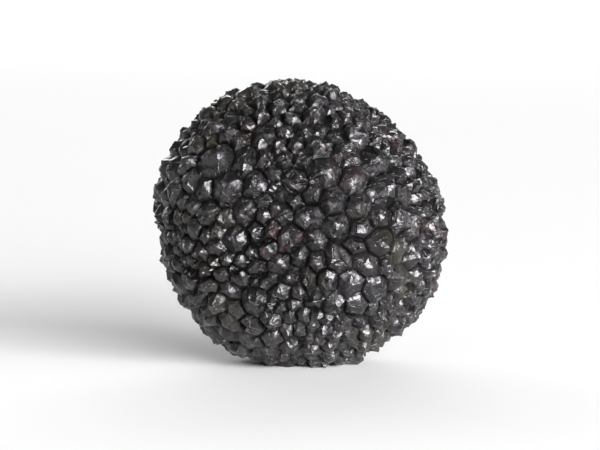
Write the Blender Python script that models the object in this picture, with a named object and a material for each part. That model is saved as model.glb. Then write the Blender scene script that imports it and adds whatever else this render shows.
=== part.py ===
"""A whole summer truffle, lying on the small flat spot at its foot.

Metres, +Z up. The origin is under the middle of the truffle, on the surface that it lies on, and -Y is
the side that faces the viewer. The body is a lumpy ball, and its rind is one net of polygonal warts: each
is a pyramid, blunt where it is wide, that rises from the grooves it shares with its neighbours.
"""

import math
import random

import bmesh
import bpy
from mathutils import Vector, noise

# Size over the tips of the warts
WIDTH = 0.0210
DEPTH = 0.0196
HEIGHT = 0.0203
FOOT_CUT = 0.0007  # what the flat spot takes off the lowest wart

# Warts: mean width across the flats, mean height from groove to tip, and the share by which each varies
WART_WIDTH = 0.00138
WART_HEIGHT = 0.00048
HEIGHT_SPREAD = 0.30
WIDTH_SPREAD = 0.32
SIZE_SWING = 0.45  # how far patches of the rind differ in wart size
SIZE_PATCHES = 1.8  # how many such patches there are, as a scale on the unit ball
LEAST_GAP = 0.78  # of a wart's width, between its middle and the next one's
TRIES = 9000  # places tried for a wart, enough to leave no room for another
GROOVE_DEPTH = 0.00016  # how much deeper than the mean a groove may be
POINTED_WIDTH = 0.00122  # warts up to this width are plain pyramids, and wider ones have a shoulder
SHOULDER_SHARE = (0.28, 0.58)  # width of a wart's shoulder against its foot
SHOULDER_LEVEL = (0.62, 0.90)  # height of the shoulder against the wart's height
SHOULDER_ROUGHNESS = 0.16  # share of the shoulder's width that its corners may be off
TIP_LEAN = 0.14  # share of the width that a tip may be off the middle
DENTED_TIPS = 0.3  # share of the warts with a shoulder whose tip has sunk
DENT_LEVEL = 0.62  # height of a sunk tip against the wart's height
SEED = 13

# Body: mean half sizes before the warts, then swellings and hollows as (compass angle round Z from the
# viewer's side towards +X, angle above the horizon, spread, all in degrees, and rise as a share of radius)
BODY_HALF = Vector((0.0100, 0.0093, 0.0098))
SWELLINGS = (
    (-80, 38, 34, 0.078),  # full left shoulder
    (10, 84, 30, 0.020),  # low crown
    (84, 48, 26, -0.050),  # leaner right shoulder
    (40, -10, 34, 0.055),  # belly, towards the viewer's right
    (-42, -30, 26, 0.050),  # lobe low on the viewer's left
    (-16, 4, 19, -0.050),  # shallow hollow in the viewer's side
    (148, 26, 32, 0.070),  # upper back lobe
    (-148, 30, 24, 0.055),  # smaller back lobe
    (-174, -4, 18, -0.110),  # furrow between the back lobes
    (116, -34, 26, 0.050),  # lobe low on the right
    (-110, -24, 25, -0.055),  # hollow low on the left
)
RIPPLE = 0.032  # share of radius
RIPPLE_SCALE = 2.6
LARGE_WARTS = (34, 4, 30, 0.34)  # where the widest warts lie, as a swelling, with the rise in their width

RIND_COLOUR = (0.017, 0.0145, 0.0135, 1.0)
RIND_ROUGHNESS = 0.38


def clear_scene():
    for obj in list(bpy.data.objects):
        bpy.data.objects.remove(obj)


def new_collection(name):
    collection = bpy.data.collections.new(name)
    bpy.context.scene.collection.children.link(collection)
    return collection


def rind_material():
    material = bpy.data.materials.new("truffle_rind")
    material.use_nodes = True
    shader = material.node_tree.nodes["Principled BSDF"]
    shader.inputs["Base Color"].default_value = RIND_COLOUR
    shader.inputs["Roughness"].default_value = RIND_ROUGHNESS
    return material


def direction(compass, above):
    """Unit vector at a compass angle from the viewer's side towards +X and an angle above the horizon."""
    turn = math.radians(compass)
    rise = math.radians(above)
    return Vector((math.sin(turn) * math.cos(rise), -math.cos(turn) * math.cos(rise), math.sin(rise)))


def bump(unit, compass, above, spread, rise):
    """How far a smooth bump in one direction rises in this one."""
    apart = unit.angle(direction(compass, above))
    return rise * math.exp(-((apart / math.radians(spread)) ** 2))


def body_point(unit):
    """Where the groove level of the rind lies in this direction."""
    swell = RIPPLE * noise.noise(unit * RIPPLE_SCALE)
    swell += sum(bump(unit, *swelling) for swelling in SWELLINGS)
    stretched = Vector(along / half for along, half in zip(unit, BODY_HALF))
    return unit * (1 + swell) / stretched.length


def wart_width(unit):
    """Width of the warts round this direction, on the unit ball."""
    patch = SIZE_SWING * noise.noise(unit * SIZE_PATCHES + Vector((0, 0, SIZE_PATCHES)))
    return WART_WIDTH * (1 + patch + bump(unit, *LARGE_WARTS)) / (sum(BODY_HALF) / 3)


def wart_middles(rng):
    """Unit vectors to the warts' middles: places drawn at random, each kept if the others leave it room."""
    kept = []
    for _ in range(TRIES):
        middle = Vector(rng.gauss(0, 1) for _ in range(3)).normalized()
        width = wart_width(middle) * rng.uniform(1 - WIDTH_SPREAD, 1 + WIDTH_SPREAD)
        if all((middle - other).length > LEAST_GAP * (width + others) / 2 for other, others in kept):
            kept.append((middle, width))
    return [middle for middle, _ in kept]


def dual_mesh_group():
    group = bpy.data.node_groups.new("dual_mesh", "GeometryNodeTree")
    group.interface.new_socket("Geometry", in_out="INPUT", socket_type="NodeSocketGeometry")
    group.interface.new_socket("Geometry", in_out="OUTPUT", socket_type="NodeSocketGeometry")
    start = group.nodes.new("NodeGroupInput")
    dual = group.nodes.new("GeometryNodeDualMesh")
    end = group.nodes.new("NodeGroupOutput")
    group.links.new(start.outputs[0], dual.inputs[0])
    group.links.new(dual.outputs[0], end.inputs[0])
    return group


def wart_outlines(middles):
    """A mesh on the unit ball with one polygon round each wart's middle, as a bmesh."""
    hull = bmesh.new()
    for middle in middles:
        hull.verts.new(middle)
    bmesh.ops.convex_hull(hull, input=hull.verts)
    bmesh.ops.recalc_face_normals(hull, faces=hull.faces)
    mesh = bpy.data.meshes.new("wart_middles")
    hull.to_mesh(mesh)
    hull.free()
    net = bpy.data.objects.new("wart_net", mesh)
    bpy.context.scene.collection.objects.link(net)
    net.modifiers.new("Dual", "NODES").node_group = dual_mesh_group()
    graph = bpy.context.evaluated_depsgraph_get()
    outlines = bmesh.new()
    outlines.from_mesh(net.evaluated_get(graph).to_mesh())
    bpy.data.objects.remove(net)
    return outlines


def raise_wart(bm, outline, rng):
    """Turns one polygon of the net into a pyramid, with a rough shoulder below its tip if it is wide."""
    middle = outline.calc_center_median()
    up = outline.normal.copy()
    width = math.sqrt(outline.calc_area())
    height = WART_HEIGHT * width / WART_WIDTH * rng.uniform(1 - HEIGHT_SPREAD, 1 + HEIGHT_SPREAD)
    tip_level = 1.0
    if width > POINTED_WIDTH:
        share = rng.uniform(*SHOULDER_SHARE)
        bmesh.ops.inset_individual(bm, faces=[outline], thickness=0, depth=0)
        for corner in outline.verts:
            rough = Vector(rng.uniform(-1, 1) for _ in range(3)) * SHOULDER_ROUGHNESS * width
            level = height * rng.uniform(*SHOULDER_LEVEL)
            corner.co = middle + (corner.co - middle + rough) * share + up * level
        if rng.random() < DENTED_TIPS:
            tip_level = DENT_LEVEL
    tip = bmesh.ops.poke(bm, faces=[outline])["verts"][0]
    lean = Vector(rng.uniform(-1, 1) for _ in range(3)) * TIP_LEAN * width
    tip.co = middle + lean - up * lean.dot(up) + up * height * tip_level


def fit_to_size(bm):
    """Stretches the ball to its measured size, with the lowest wart FOOT_CUT below the ground."""
    for axis, start, end in ((0, -WIDTH / 2, WIDTH / 2), (1, -DEPTH / 2, DEPTH / 2), (2, -FOOT_CUT, HEIGHT)):
        low = min(v.co[axis] for v in bm.verts)
        high = max(v.co[axis] for v in bm.verts)
        for v in bm.verts:
            v.co[axis] = start + (v.co[axis] - low) / (high - low) * (end - start)


def add_ground_cutter(collection):
    """A block with its top on the ground, which cuts the flat spot."""
    side = 2 * WIDTH
    bpy.ops.mesh.primitive_cube_add(size=side, location=(0, 0, -side / 2))
    cutter = bpy.context.object
    cutter.name = "ground_cutter"
    cutter.hide_render = True
    cutter.display_type = "WIRE"
    cutter.users_collection[0].objects.unlink(cutter)
    collection.objects.link(cutter)
    return cutter


def build_truffle():
    parts = new_collection("summer_truffle")
    cutters = new_collection("cutters")
    rng = random.Random(SEED)

    bm = wart_outlines(wart_middles(rng))
    for corner in bm.verts:
        unit = corner.co.normalized()
        corner.co = body_point(unit) - unit * rng.uniform(0, GROOVE_DEPTH)
    bm.normal_update()
    for outline in list(bm.faces):
        raise_wart(bm, outline, rng)
    fit_to_size(bm)
    bmesh.ops.triangulate(bm, faces=bm.faces, quad_method="SHORT_EDGE")

    mesh = bpy.data.meshes.new("truffle")
    bm.to_mesh(mesh)
    bm.free()
    mesh.materials.append(rind_material())
    truffle = bpy.data.objects.new("truffle", mesh)
    parts.objects.link(truffle)

    flat_spot = truffle.modifiers.new("Flat spot", "BOOLEAN")
    flat_spot.object = add_ground_cutter(cutters)


clear_scene()
build_truffle()
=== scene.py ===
import math

import bpy
import numpy as np
from mathutils import Euler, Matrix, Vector, noise


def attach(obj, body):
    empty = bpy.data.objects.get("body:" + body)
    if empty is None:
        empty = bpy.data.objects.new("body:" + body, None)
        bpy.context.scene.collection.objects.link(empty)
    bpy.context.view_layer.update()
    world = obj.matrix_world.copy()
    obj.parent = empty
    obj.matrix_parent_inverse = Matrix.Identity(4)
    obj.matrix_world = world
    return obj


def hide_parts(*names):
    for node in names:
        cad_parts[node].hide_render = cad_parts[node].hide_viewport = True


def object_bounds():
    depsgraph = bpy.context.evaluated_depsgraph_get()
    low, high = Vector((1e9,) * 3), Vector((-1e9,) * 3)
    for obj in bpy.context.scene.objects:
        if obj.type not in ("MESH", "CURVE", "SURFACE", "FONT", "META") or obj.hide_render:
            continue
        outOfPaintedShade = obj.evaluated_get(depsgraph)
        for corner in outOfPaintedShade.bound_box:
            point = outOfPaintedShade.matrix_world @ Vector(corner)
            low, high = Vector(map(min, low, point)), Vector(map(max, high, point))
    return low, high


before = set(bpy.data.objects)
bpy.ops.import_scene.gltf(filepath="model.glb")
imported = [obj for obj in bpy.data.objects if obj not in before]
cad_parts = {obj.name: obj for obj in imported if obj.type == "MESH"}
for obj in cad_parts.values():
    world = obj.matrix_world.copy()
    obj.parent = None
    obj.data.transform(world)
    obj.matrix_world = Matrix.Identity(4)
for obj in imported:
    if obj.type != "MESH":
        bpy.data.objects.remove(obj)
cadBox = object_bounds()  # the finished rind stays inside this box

print("frame loaded")


class Wire:
    # An output socket that can be added to and multiplied like a number.

    def __init__(self, tree, socket=None):
        self.tree = tree
        self.socket = socket

    def node(self, kind, settings=None, values=None, output=0):
        # Any node: its settings first, then the numbers, colours or wires of its sockets.
        made = self.tree.nodes.new("ShaderNode" + kind)
        for name, setting in (settings or {}).items():
            setattr(made, name, setting)
        for name, value in (values or {}).items():
            if isinstance(value, Wire):
                self.tree.links.new(value.socket, made.inputs[name])
            else:
                made.inputs[name].default_value = value
        return Wire(self.tree, made.outputs[output])

    def math(self, operation, first, second=0.0):
        return self.node("Math", {"operation": operation}, {0: first, 1: second})

    def __add__(self, other):
        return self.math("ADD", self, other)

    def __radd__(self, other):
        return self.math("ADD", other, self)

    def __mul__(self, other):
        return self.math("MULTIPLY", self, other)

    def __rmul__(self, other):
        return self.math("MULTIPLY", other, self)

    def sine(self):
        return self.math("SINE", self)

    def between(self, low, high):
        # 0 up to low, 1 from high on, and smooth from one to the other
        return self.node("MapRange", {"interpolation_type": "SMOOTHSTEP"}, {"Value": self, 1: low, 2: high})

    def near(self, point, reach):
        # 1 at a point and 0 from the reach on
        apart = self.node("VectorMath", {"operation": "DISTANCE"}, {0: self, 1: point}, output="Value")
        return apart.between(reach, 0.0)

    def mixed(self, first, second):
        # first where this is 0, second where it is 1, both colours
        return self.node("Mix", {"data_type": "RGBA"}, {0: self, 6: first, 7: second}, output=2)


def newMaterial(name):
    material = bpy.data.materials.new(name)
    material.use_nodes = True
    tree = material.node_tree
    return material, tree.nodes["Principled BSDF"], Wire(tree)


def connect(wire, node, name):
    wire.tree.links.new(wire.socket, node.inputs[name])


def activate(piece):
    bpy.ops.object.select_all(action="DESELECT")
    piece.select_set(True)
    bpy.context.view_layer.objects.active = piece


def applyModifiers(piece):
    activate(piece)
    for modifier in list(piece.modifiers):
        bpy.ops.object.modifier_apply(modifier=modifier.name)


def points(mesh, field="co"):
    flat = np.empty(len(mesh.vertices) * 3, np.float32)
    mesh.vertices.foreach_get(field, flat)
    return flat.reshape(-1, 3)


# The rind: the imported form, its warts broken into smaller facets, cracks and grain

rind = {
    "node": "truffle",
    "mergeWithin": 1e-6,      # metres
    "downward": -0.9,         # a face of the flat spot looks down at least this much, of -1
    "flatAngle": 1,           # degrees between faces that still make one flat face
    "cuts": 3,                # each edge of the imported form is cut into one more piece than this
    "smoothFactor": 0.5,      # how far one round of smoothing moves a point towards its neighbours
    "riseRounds": 12,         # smoothing that leaves the level that whole warts rise from
    "riseTips": 95,           # percentile of the rise from which the skin counts as a tip
    "ridgeRounds": 4,         # smoothing that leaves the level that single ridges rise from
    "ridgeHollows": 3,        # percentiles that count as the deepest hollows and the highest ridges
    "ridgeTops": 97,
    "footFade": 0.0003,       # metres above the ground over which the relief comes in
    "chippedPatches": 420,    # patches of chipped warts in a metre, with whole ones between them
    "patchContrast": 1.3,     # how sharply the patches end
    "leastChipped": 0.4,      # share of the chips' depth that the whole ones have
    "wobbleScale": 0.0006,    # metres across the wobble that bends straight edges
    "wobble": 0.00015,        # metres by which it shifts them
    "crackDepth": 0.00016,    # metres
    "crackShare": 0.16,       # of the way from a groove to a tip, the crack's half width
    "crackLoss": 0.6,         # share of their depth that the cracks lose between chipped warts
    "chipStrength": 0.8,      # contrast of the pattern that chips the skin
    "foldAngle": 138,         # degrees between two faces from which the skin counts as folded
    "foldRounds": 6,
    "turn": (0.7, 0.4, 1.2),  # radians, so that no layer of chips follows the axes
    "smoothAngle": 9,         # degrees, small enough to leave the facets crisp
}

chipLayers = [  # name, and the size and depth of the chips in metres
    ("Chips", 0.0009, 0.00022),
    ("Small chips", 0.00040, 0.00012),
]


def copyNode(nodeName, pieceName):
    piece = bpy.data.objects.new(pieceName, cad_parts[nodeName].data.copy())
    bpy.context.scene.collection.objects.link(piece)
    piece.data.materials.clear()
    return piece


def weldAndFlatten(piece, within):
    # Loose triangles become one skin, and those of the flat spot one face.
    activate(piece)
    bpy.ops.object.mode_set(mode="EDIT")
    bpy.ops.mesh.select_all(action="SELECT")
    bpy.ops.mesh.remove_doubles(threshold=within)
    bpy.ops.mesh.select_all(action="DESELECT")
    bpy.ops.object.mode_set(mode="OBJECT")
    for face in piece.data.polygons:
        face.select = face.center.z < within and face.normal.z < rind["downward"]
    bpy.ops.object.mode_set(mode="EDIT")
    bpy.ops.mesh.dissolve_limited(angle_limit=math.radians(rind["flatAngle"]))
    bpy.ops.mesh.select_all(action="SELECT")
    bpy.ops.mesh.quads_convert_to_tris()
    bpy.ops.object.mode_set(mode="OBJECT")


def measureHeights(piece, name, rounds, highest, lowest=None):
    # 0 in hollows and 1 on what stands out, by how far each point stands off a smoothed copy. Highest and
    # lowest are percentiles, and with no lowest one 0 is the level of the smoothed copy.
    smooth = piece.modifiers.new("Smoothed", "SMOOTH")
    smooth.factor = rind["smoothFactor"]
    smooth.iterations = rounds
    graph = bpy.context.evaluated_depsgraph_get()
    smoothed = points(piece.evaluated_get(graph).data)
    piece.modifiers.remove(smooth)
    off = ((points(piece.data) - smoothed) * points(piece.data, "normal")).sum(1)
    high = np.percentile(off, highest)
    low = np.percentile(off, lowest) if lowest else 0
    heights = piece.data.attributes.new(name, "FLOAT", "POINT")
    heights.data.foreach_set("value", np.clip((off - low) / (high - low), 0, 1))


def cutFiner(piece, cuts):
    activate(piece)
    bpy.ops.object.mode_set(mode="EDIT")
    bpy.ops.mesh.select_all(action="SELECT")
    bpy.ops.mesh.subdivide(number_cuts=cuts)
    bpy.ops.object.mode_set(mode="OBJECT")


def addWeights(piece, name, weights):
    group = piece.vertex_groups.new(name=name)
    for number, weight in enumerate(weights):
        group.add([number], float(weight), "REPLACE")


def weighRelief(piece):
    # All relief fades out towards the flat spot, which stays flat. Where warts are chipped most, the
    # cracks between them are shallow.
    above = np.clip(points(piece.data)[:, 2] / rind["footFade"], 0, 1)
    rise = np.empty(len(above), np.float32)
    piece.data.attributes["rise"].data.foreach_get("value", rise)
    chipped = np.array([noise.noise(v.co * rind["chippedPatches"]) for v in piece.data.vertices])
    chipped = np.clip(0.5 + chipped * rind["patchContrast"], 0, 1)
    piece.data.attributes.new("chipped", "FLOAT", "POINT").data.foreach_set("value", chipped)
    least = rind["leastChipped"]
    groove = np.clip(1 - rise / rind["crackShare"], 0, 1) * (1 - rind["crackLoss"] * chipped)
    addWeights(piece, "relief", above)
    addWeights(piece, "chips", above * (least + (1 - least) * chipped))
    addWeights(piece, "groove", above * groove)


def bendAndCrack(piece):
    wobble = piece.modifiers.new("Wobble", "DISPLACE")
    wobble.texture = bpy.data.textures.new("Wobble", "CLOUDS")
    wobble.texture.cloud_type = "COLOR"
    wobble.texture.noise_scale = rind["wobbleScale"]
    wobble.direction = "RGB_TO_XYZ"
    wobble.strength = rind["wobble"]
    wobble.vertex_group = "relief"
    sink = piece.modifiers.new("Cracks", "DISPLACE")
    sink.strength = -rind["crackDepth"]
    sink.mid_level = 0
    sink.vertex_group = "groove"
    applyModifiers(piece)


def chip(piece):
    turned = bpy.data.objects.new("turned", None)
    turned.rotation_euler = Euler(rind["turn"])
    bpy.context.scene.collection.objects.link(turned)
    for name, size, depth in chipLayers:
        texture = bpy.data.textures.new(name, "VORONOI")
        texture.noise_scale = size
        texture.distance_metric = "MANHATTAN"
        texture.noise_intensity = rind["chipStrength"]
        layer = piece.modifiers.new(name, "DISPLACE")
        layer.texture = texture
        layer.texture_coords = "OBJECT"
        layer.texture_coords_object = turned
        layer.strength = -depth
        layer.vertex_group = "chips"
        applyModifiers(piece)
        turned.rotation_euler.rotate(Euler(rind["turn"]))
        bpy.context.view_layer.update()
    bpy.data.objects.remove(turned)


def openFolds(piece):
    # Where the relief has folded the skin, it is smoothed until it lies open.
    activate(piece)
    bpy.ops.object.mode_set(mode="EDIT")
    bpy.ops.mesh.select_mode(type="EDGE")
    for _ in range(rind["foldRounds"]):
        bpy.ops.mesh.select_all(action="DESELECT")
        bpy.ops.mesh.edges_select_sharp(sharpness=math.radians(rind["foldAngle"]))
        bpy.ops.mesh.vertices_smooth(factor=rind["smoothFactor"])
    bpy.ops.mesh.select_mode(type="VERT")
    bpy.ops.object.mode_set(mode="OBJECT")


def fitToBox(piece, box):
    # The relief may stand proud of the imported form's box, so the skin is drawn in to it.
    place = points(piece.data)
    low, high = place.min(0), place.max(0)
    low[2] = 0  # the ground stays where it is
    place = np.array(box[0]) + (place - low) / (high - low) * (np.array(box[1]) - np.array(box[0]))
    place[:, 2] = np.maximum(place[:, 2], 0)
    piece.data.vertices.foreach_set("co", place.astype(np.float32).ravel())
    piece.data.update()


def makeRind():
    piece = copyNode(rind["node"], "truffleRind")
    weldAndFlatten(piece, rind["mergeWithin"])
    measureHeights(piece, "rise", rind["riseRounds"], rind["riseTips"])
    cutFiner(piece, rind["cuts"])
    weighRelief(piece)
    bendAndCrack(piece)
    chip(piece)
    openFolds(piece)
    fitToBox(piece, cadBox)
    measureHeights(piece, "ridge", rind["ridgeRounds"], rind["ridgeTops"], rind["ridgeHollows"])
    activate(piece)
    bpy.ops.object.shade_smooth_by_angle(angle=math.radians(rind["smoothAngle"]))
    print("rind:", len(piece.data.polygons), "faces")
    return piece


rindLook = {
    "black": (0.0030, 0.0028, 0.0029, 1),
    # painted shade: the grooves between the warts get a colour darker than the skin, standing in for the
    # shade that falls in them
    "groove": (0.0016, 0.0014, 0.0013, 1),
    "worn": (0.021, 0.019, 0.020, 1),           # along the ridges
    "scuffed": (0.075, 0.068, 0.070, 1),        # in patches on the tips
    "olive": (0.016, 0.014, 0.008, 1),
    "reddish": (0.022, 0.010, 0.008, 1),
    "glint": (0.98, 0.94, 1.0, 1),              # the wet skin's reflections are a little cool
    "oliveSpot": (-0.0047, -0.0021, 0.0190),    # near the crown
    "reddishSpot": (0.0067, -0.0028, 0.0174),   # on the right shoulder
    "spotReach": 0.0034,
    "oliveBlotches": 0.7,       # strength of the olive in the blotches, and at its spot
    "oliveAtSpot": 0.6,
    # how many of each pattern's cells lie in a metre
    "blotches": 240,
    "patches": 900,
    "warps": 1500,
    "fissures": 1500,
    "grit": 4200,
    "pits": 5200,
    "warpedBy": 0.0006,         # metres by which the fissures are bent
    "paintedShadeEase": 0.05,        # how much less of the painted shade a groove gets between chipped warts
    # roughness of the smoothest skin, and what the patches and the grit add
    "roughness": 0.22,
    "patchRoughness": 0.24,
    "gritRoughness": 0.08,
    # metres, how far each pattern stands out in the bump
    "fissureHeight": 0.00004,
    "lineHeight": 0.000004,
    "gritHeight": 0.000026,
    "pitHeight": 0.000012,
    "wholeGrit": 0.35,          # share of the grit and pits that whole warts have
    "bumpStrength": 0.8,
    "linesUp": 36,              # how fast the fine lines follow each other up a wart
    "linesBent": 10,
    "ior": 1.50,
    # the film of water
    "coat": 0.5,
    "coatRoughness": 0.19,
    "coatIor": 1.33,
    # painted shade: the floors of the grooves hardly shine, standing in for the shade that falls in them
    "paintedShadeRoughness": 0.7,
    "paintedShadeShine": 0.1,
}


def rindMaterial():
    look = rindLook
    material, shader, wire = newMaterial("truffleRind")
    place = wire.node("TexCoord", output="Object")
    rise = wire.node("Attribute", {"attribute_name": "rise"}, output="Fac")
    ridge = wire.node("Attribute", {"attribute_name": "ridge"}, output="Fac")
    chipped = wire.node("Attribute", {"attribute_name": "chipped"}, output="Fac")
    blotch = wire.node("TexNoise", None, {"Vector": place, "Scale": look["blotches"], "Detail": 3})
    patch = wire.node("TexNoise", None, {"Vector": place, "Scale": look["patches"], "Detail": 4})
    grit = wire.node("TexNoise", None, {"Vector": place, "Scale": look["grit"], "Detail": 2})
    warpValues = {"Vector": place, "Scale": look["warps"], "Detail": 2}
    warp = wire.node("TexNoise", None, warpValues, output="Color")
    bentValues = {0: warp, 1: (look["warpedBy"],) * 3, 2: place}
    bent = wire.node("VectorMath", {"operation": "MULTIPLY_ADD"}, bentValues)
    fissureValues = {"Vector": bent, "Scale": look["fissures"]}
    fissure = wire.node("TexVoronoi", {"feature": "DISTANCE_TO_EDGE"}, fissureValues, output="Distance")
    pits = wire.node("TexVoronoi", None, {"Vector": place, "Scale": look["pits"]}, output="Distance")

    # 0 deep in the grooves, where the painted shade is darkest; between chipped warts the grooves get less
    # of it
    outOfPaintedShade = rise + chipped * look["paintedShadeEase"]
    onRidges = ridge.between(0.55, 1.0) * grit.between(0.35, 0.65)
    onTips = rise.between(0.6, 1.0) * patch.between(0.54, 0.70)
    atOliveSpot = place.near(look["oliveSpot"], look["spotReach"])
    isOlive = blotch.between(0.56, 0.7) * look["oliveBlotches"] + atOliveSpot * look["oliveAtSpot"]
    isReddish = blotch.between(0.42, 0.3) + place.near(look["reddishSpot"], look["spotReach"])
    # painted shade: the grooves take the darker groove colour
    colour = outOfPaintedShade.between(0.0, 0.2).mixed(look["groove"], look["black"])
    colour = onRidges.mixed(colour, look["worn"])
    colour = onTips.mixed(colour, look["scuffed"])
    colour = isOlive.mixed(colour, look["olive"])
    colour = (isReddish * patch.between(0.45, 0.62)).mixed(colour, look["reddish"])
    connect(colour, shader, "Base Color")
    roughness = look["roughness"] + patch * look["patchRoughness"] + grit * look["gritRoughness"]
    connect(roughness, shader, "Roughness")

    cracks = fissure.between(0.0, 0.07)
    lines = (rise * look["linesUp"] + patch * look["linesBent"]).sine() * patch.between(0.62, 0.40)
    grain = grit * look["gritHeight"] + pits * look["pitHeight"]
    grain = grain * (look["wholeGrit"] + chipped * (1 - look["wholeGrit"]))
    height = cracks * look["fissureHeight"] + lines * look["lineHeight"] + grain
    bumpValues = {"Height": height, "Distance": 1.0, "Strength": look["bumpStrength"]}
    bump = wire.node("Bump", None, bumpValues)
    connect(bump, shader, "Normal")

    shader.inputs["Coat Weight"].default_value = look["coat"]
    shader.inputs["Coat Roughness"].default_value = look["coatRoughness"]
    shader.inputs["Coat IOR"].default_value = look["coatIor"]
    shader.inputs["IOR"].default_value = look["ior"]
    shader.inputs["Specular Tint"].default_value = look["glint"]
    # painted shade: a dark, hardly shining shader is mixed into the grooves in place of the shade that
    # falls there
    shadeInGroovesValues = {"Base Color": look["groove"], "Normal": bump, "Roughness": look["paintedShadeRoughness"],
                  "Specular IOR Level": look["paintedShadeShine"]}
    paintedGrooveShade = wire.node("BsdfPrincipled", None, shadeInGroovesValues)
    wet = Wire(wire.tree, shader.outputs[0])
    skin = wire.node("MixShader", None, {0: outOfPaintedShade.between(-0.04, 0.14), 1: paintedGrooveShade, 2: wet})
    connect(skin, wire.tree.nodes["Material Output"], "Surface")
    return material


truffle = makeRind()
truffle.data.materials.append(rindMaterial())
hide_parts("truffle")
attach(truffle, "root")


# Studio

studio = {
    "floorRadius": 1.3,
    "floorCorners": 96,
    "floorColour": (0.90, 0.90, 0.90, 1),
    "floorRoughness": 0.85,
    "world": (0.9, 0.9, 0.9, 1),
    "worldStrength": 0.15,
    "cameraDistance": 0.29,
    "cameraRise": 5,      # degrees above the horizon
    "cameraNear": 0.01,   # metres, where its view starts
    "lens": 245,
    "aim": (0, 0, 0.0098),
}

# Name, compass angle round the truffle from the camera towards +X, angle above the horizon, metres away,
# width, height, watts, and how many metres behind the truffle it is aimed
lamps = [
    ("softFront", 32, 8, 1.6, 1.5, 0.8, 128, 0),
    ("softRight", 75, 18, 1.6, 0.8, 0.7, 4, 0),
    ("spotHigh", -14, 44, 1.6, 0.3, 0.3, 0.6, 0),
    ("softBack", 176, 22, 1.6, 1.0, 0.6, 9, 0),
    ("softBackLeft", -152, 20, 1.6, 0.6, 0.6, 4, 0),
    ("floorWash", 180, 32, 0.95, 1.0, 0.6, 0.8, 0.8),
]


def onSphere(compass, above, distance):
    turn = math.radians(compass)
    rise = math.radians(above)
    flat = math.cos(rise) * distance
    return Vector((math.sin(turn) * flat, -math.cos(turn) * flat, math.sin(rise) * distance))


def makeFloor():
    bpy.ops.object.select_all(action="DESELECT")
    corners = studio["floorCorners"]
    bpy.ops.mesh.primitive_circle_add(vertices=corners, radius=studio["floorRadius"], fill_type="NGON")
    floor = bpy.context.object
    floor.name = "floor"
    material, shader, _ = newMaterial("paleFloor")
    shader.inputs["Base Color"].default_value = studio["floorColour"]
    shader.inputs["Roughness"].default_value = studio["floorRoughness"]
    floor.data.materials.append(material)


def makeLamps():
    aim = Vector(studio["aim"])
    for name, compass, above, distance, width, height, watts, behind in lamps:
        light = bpy.data.lights.new(name, "AREA")
        light.shape = "RECTANGLE"
        light.size = width
        light.size_y = height
        light.energy = watts
        lamp = bpy.data.objects.new(name, light)
        bpy.context.scene.collection.objects.link(lamp)
        lamp.location = aim + onSphere(compass, above, distance)
        towards = aim + Vector((0, behind, 0)) - lamp.location
        lamp.rotation_euler = towards.to_track_quat("-Z", "Y").to_euler()


def makeWorld():
    world = bpy.data.worlds.new("studio")
    bpy.context.scene.world = world
    world.use_nodes = True
    sky = world.node_tree.nodes["Background"]
    sky.inputs["Color"].default_value = studio["world"]
    sky.inputs["Strength"].default_value = studio["worldStrength"]


def makeCamera():
    data = bpy.data.cameras.new("camera")
    data.lens = studio["lens"]
    data.clip_start = studio["cameraNear"]
    camera = bpy.data.objects.new("camera", data)
    bpy.context.scene.collection.objects.link(camera)
    aim = Vector(studio["aim"])
    camera.location = aim + onSphere(0, studio["cameraRise"], studio["cameraDistance"])
    camera.rotation_euler = (aim - camera.location).to_track_quat("-Z", "Y").to_euler()
    bpy.context.scene.camera = camera


makeFloor()
makeLamps()
makeWorld()
makeCamera()
bpy.context.scene.view_settings.view_transform = "Standard"
print("studio set")
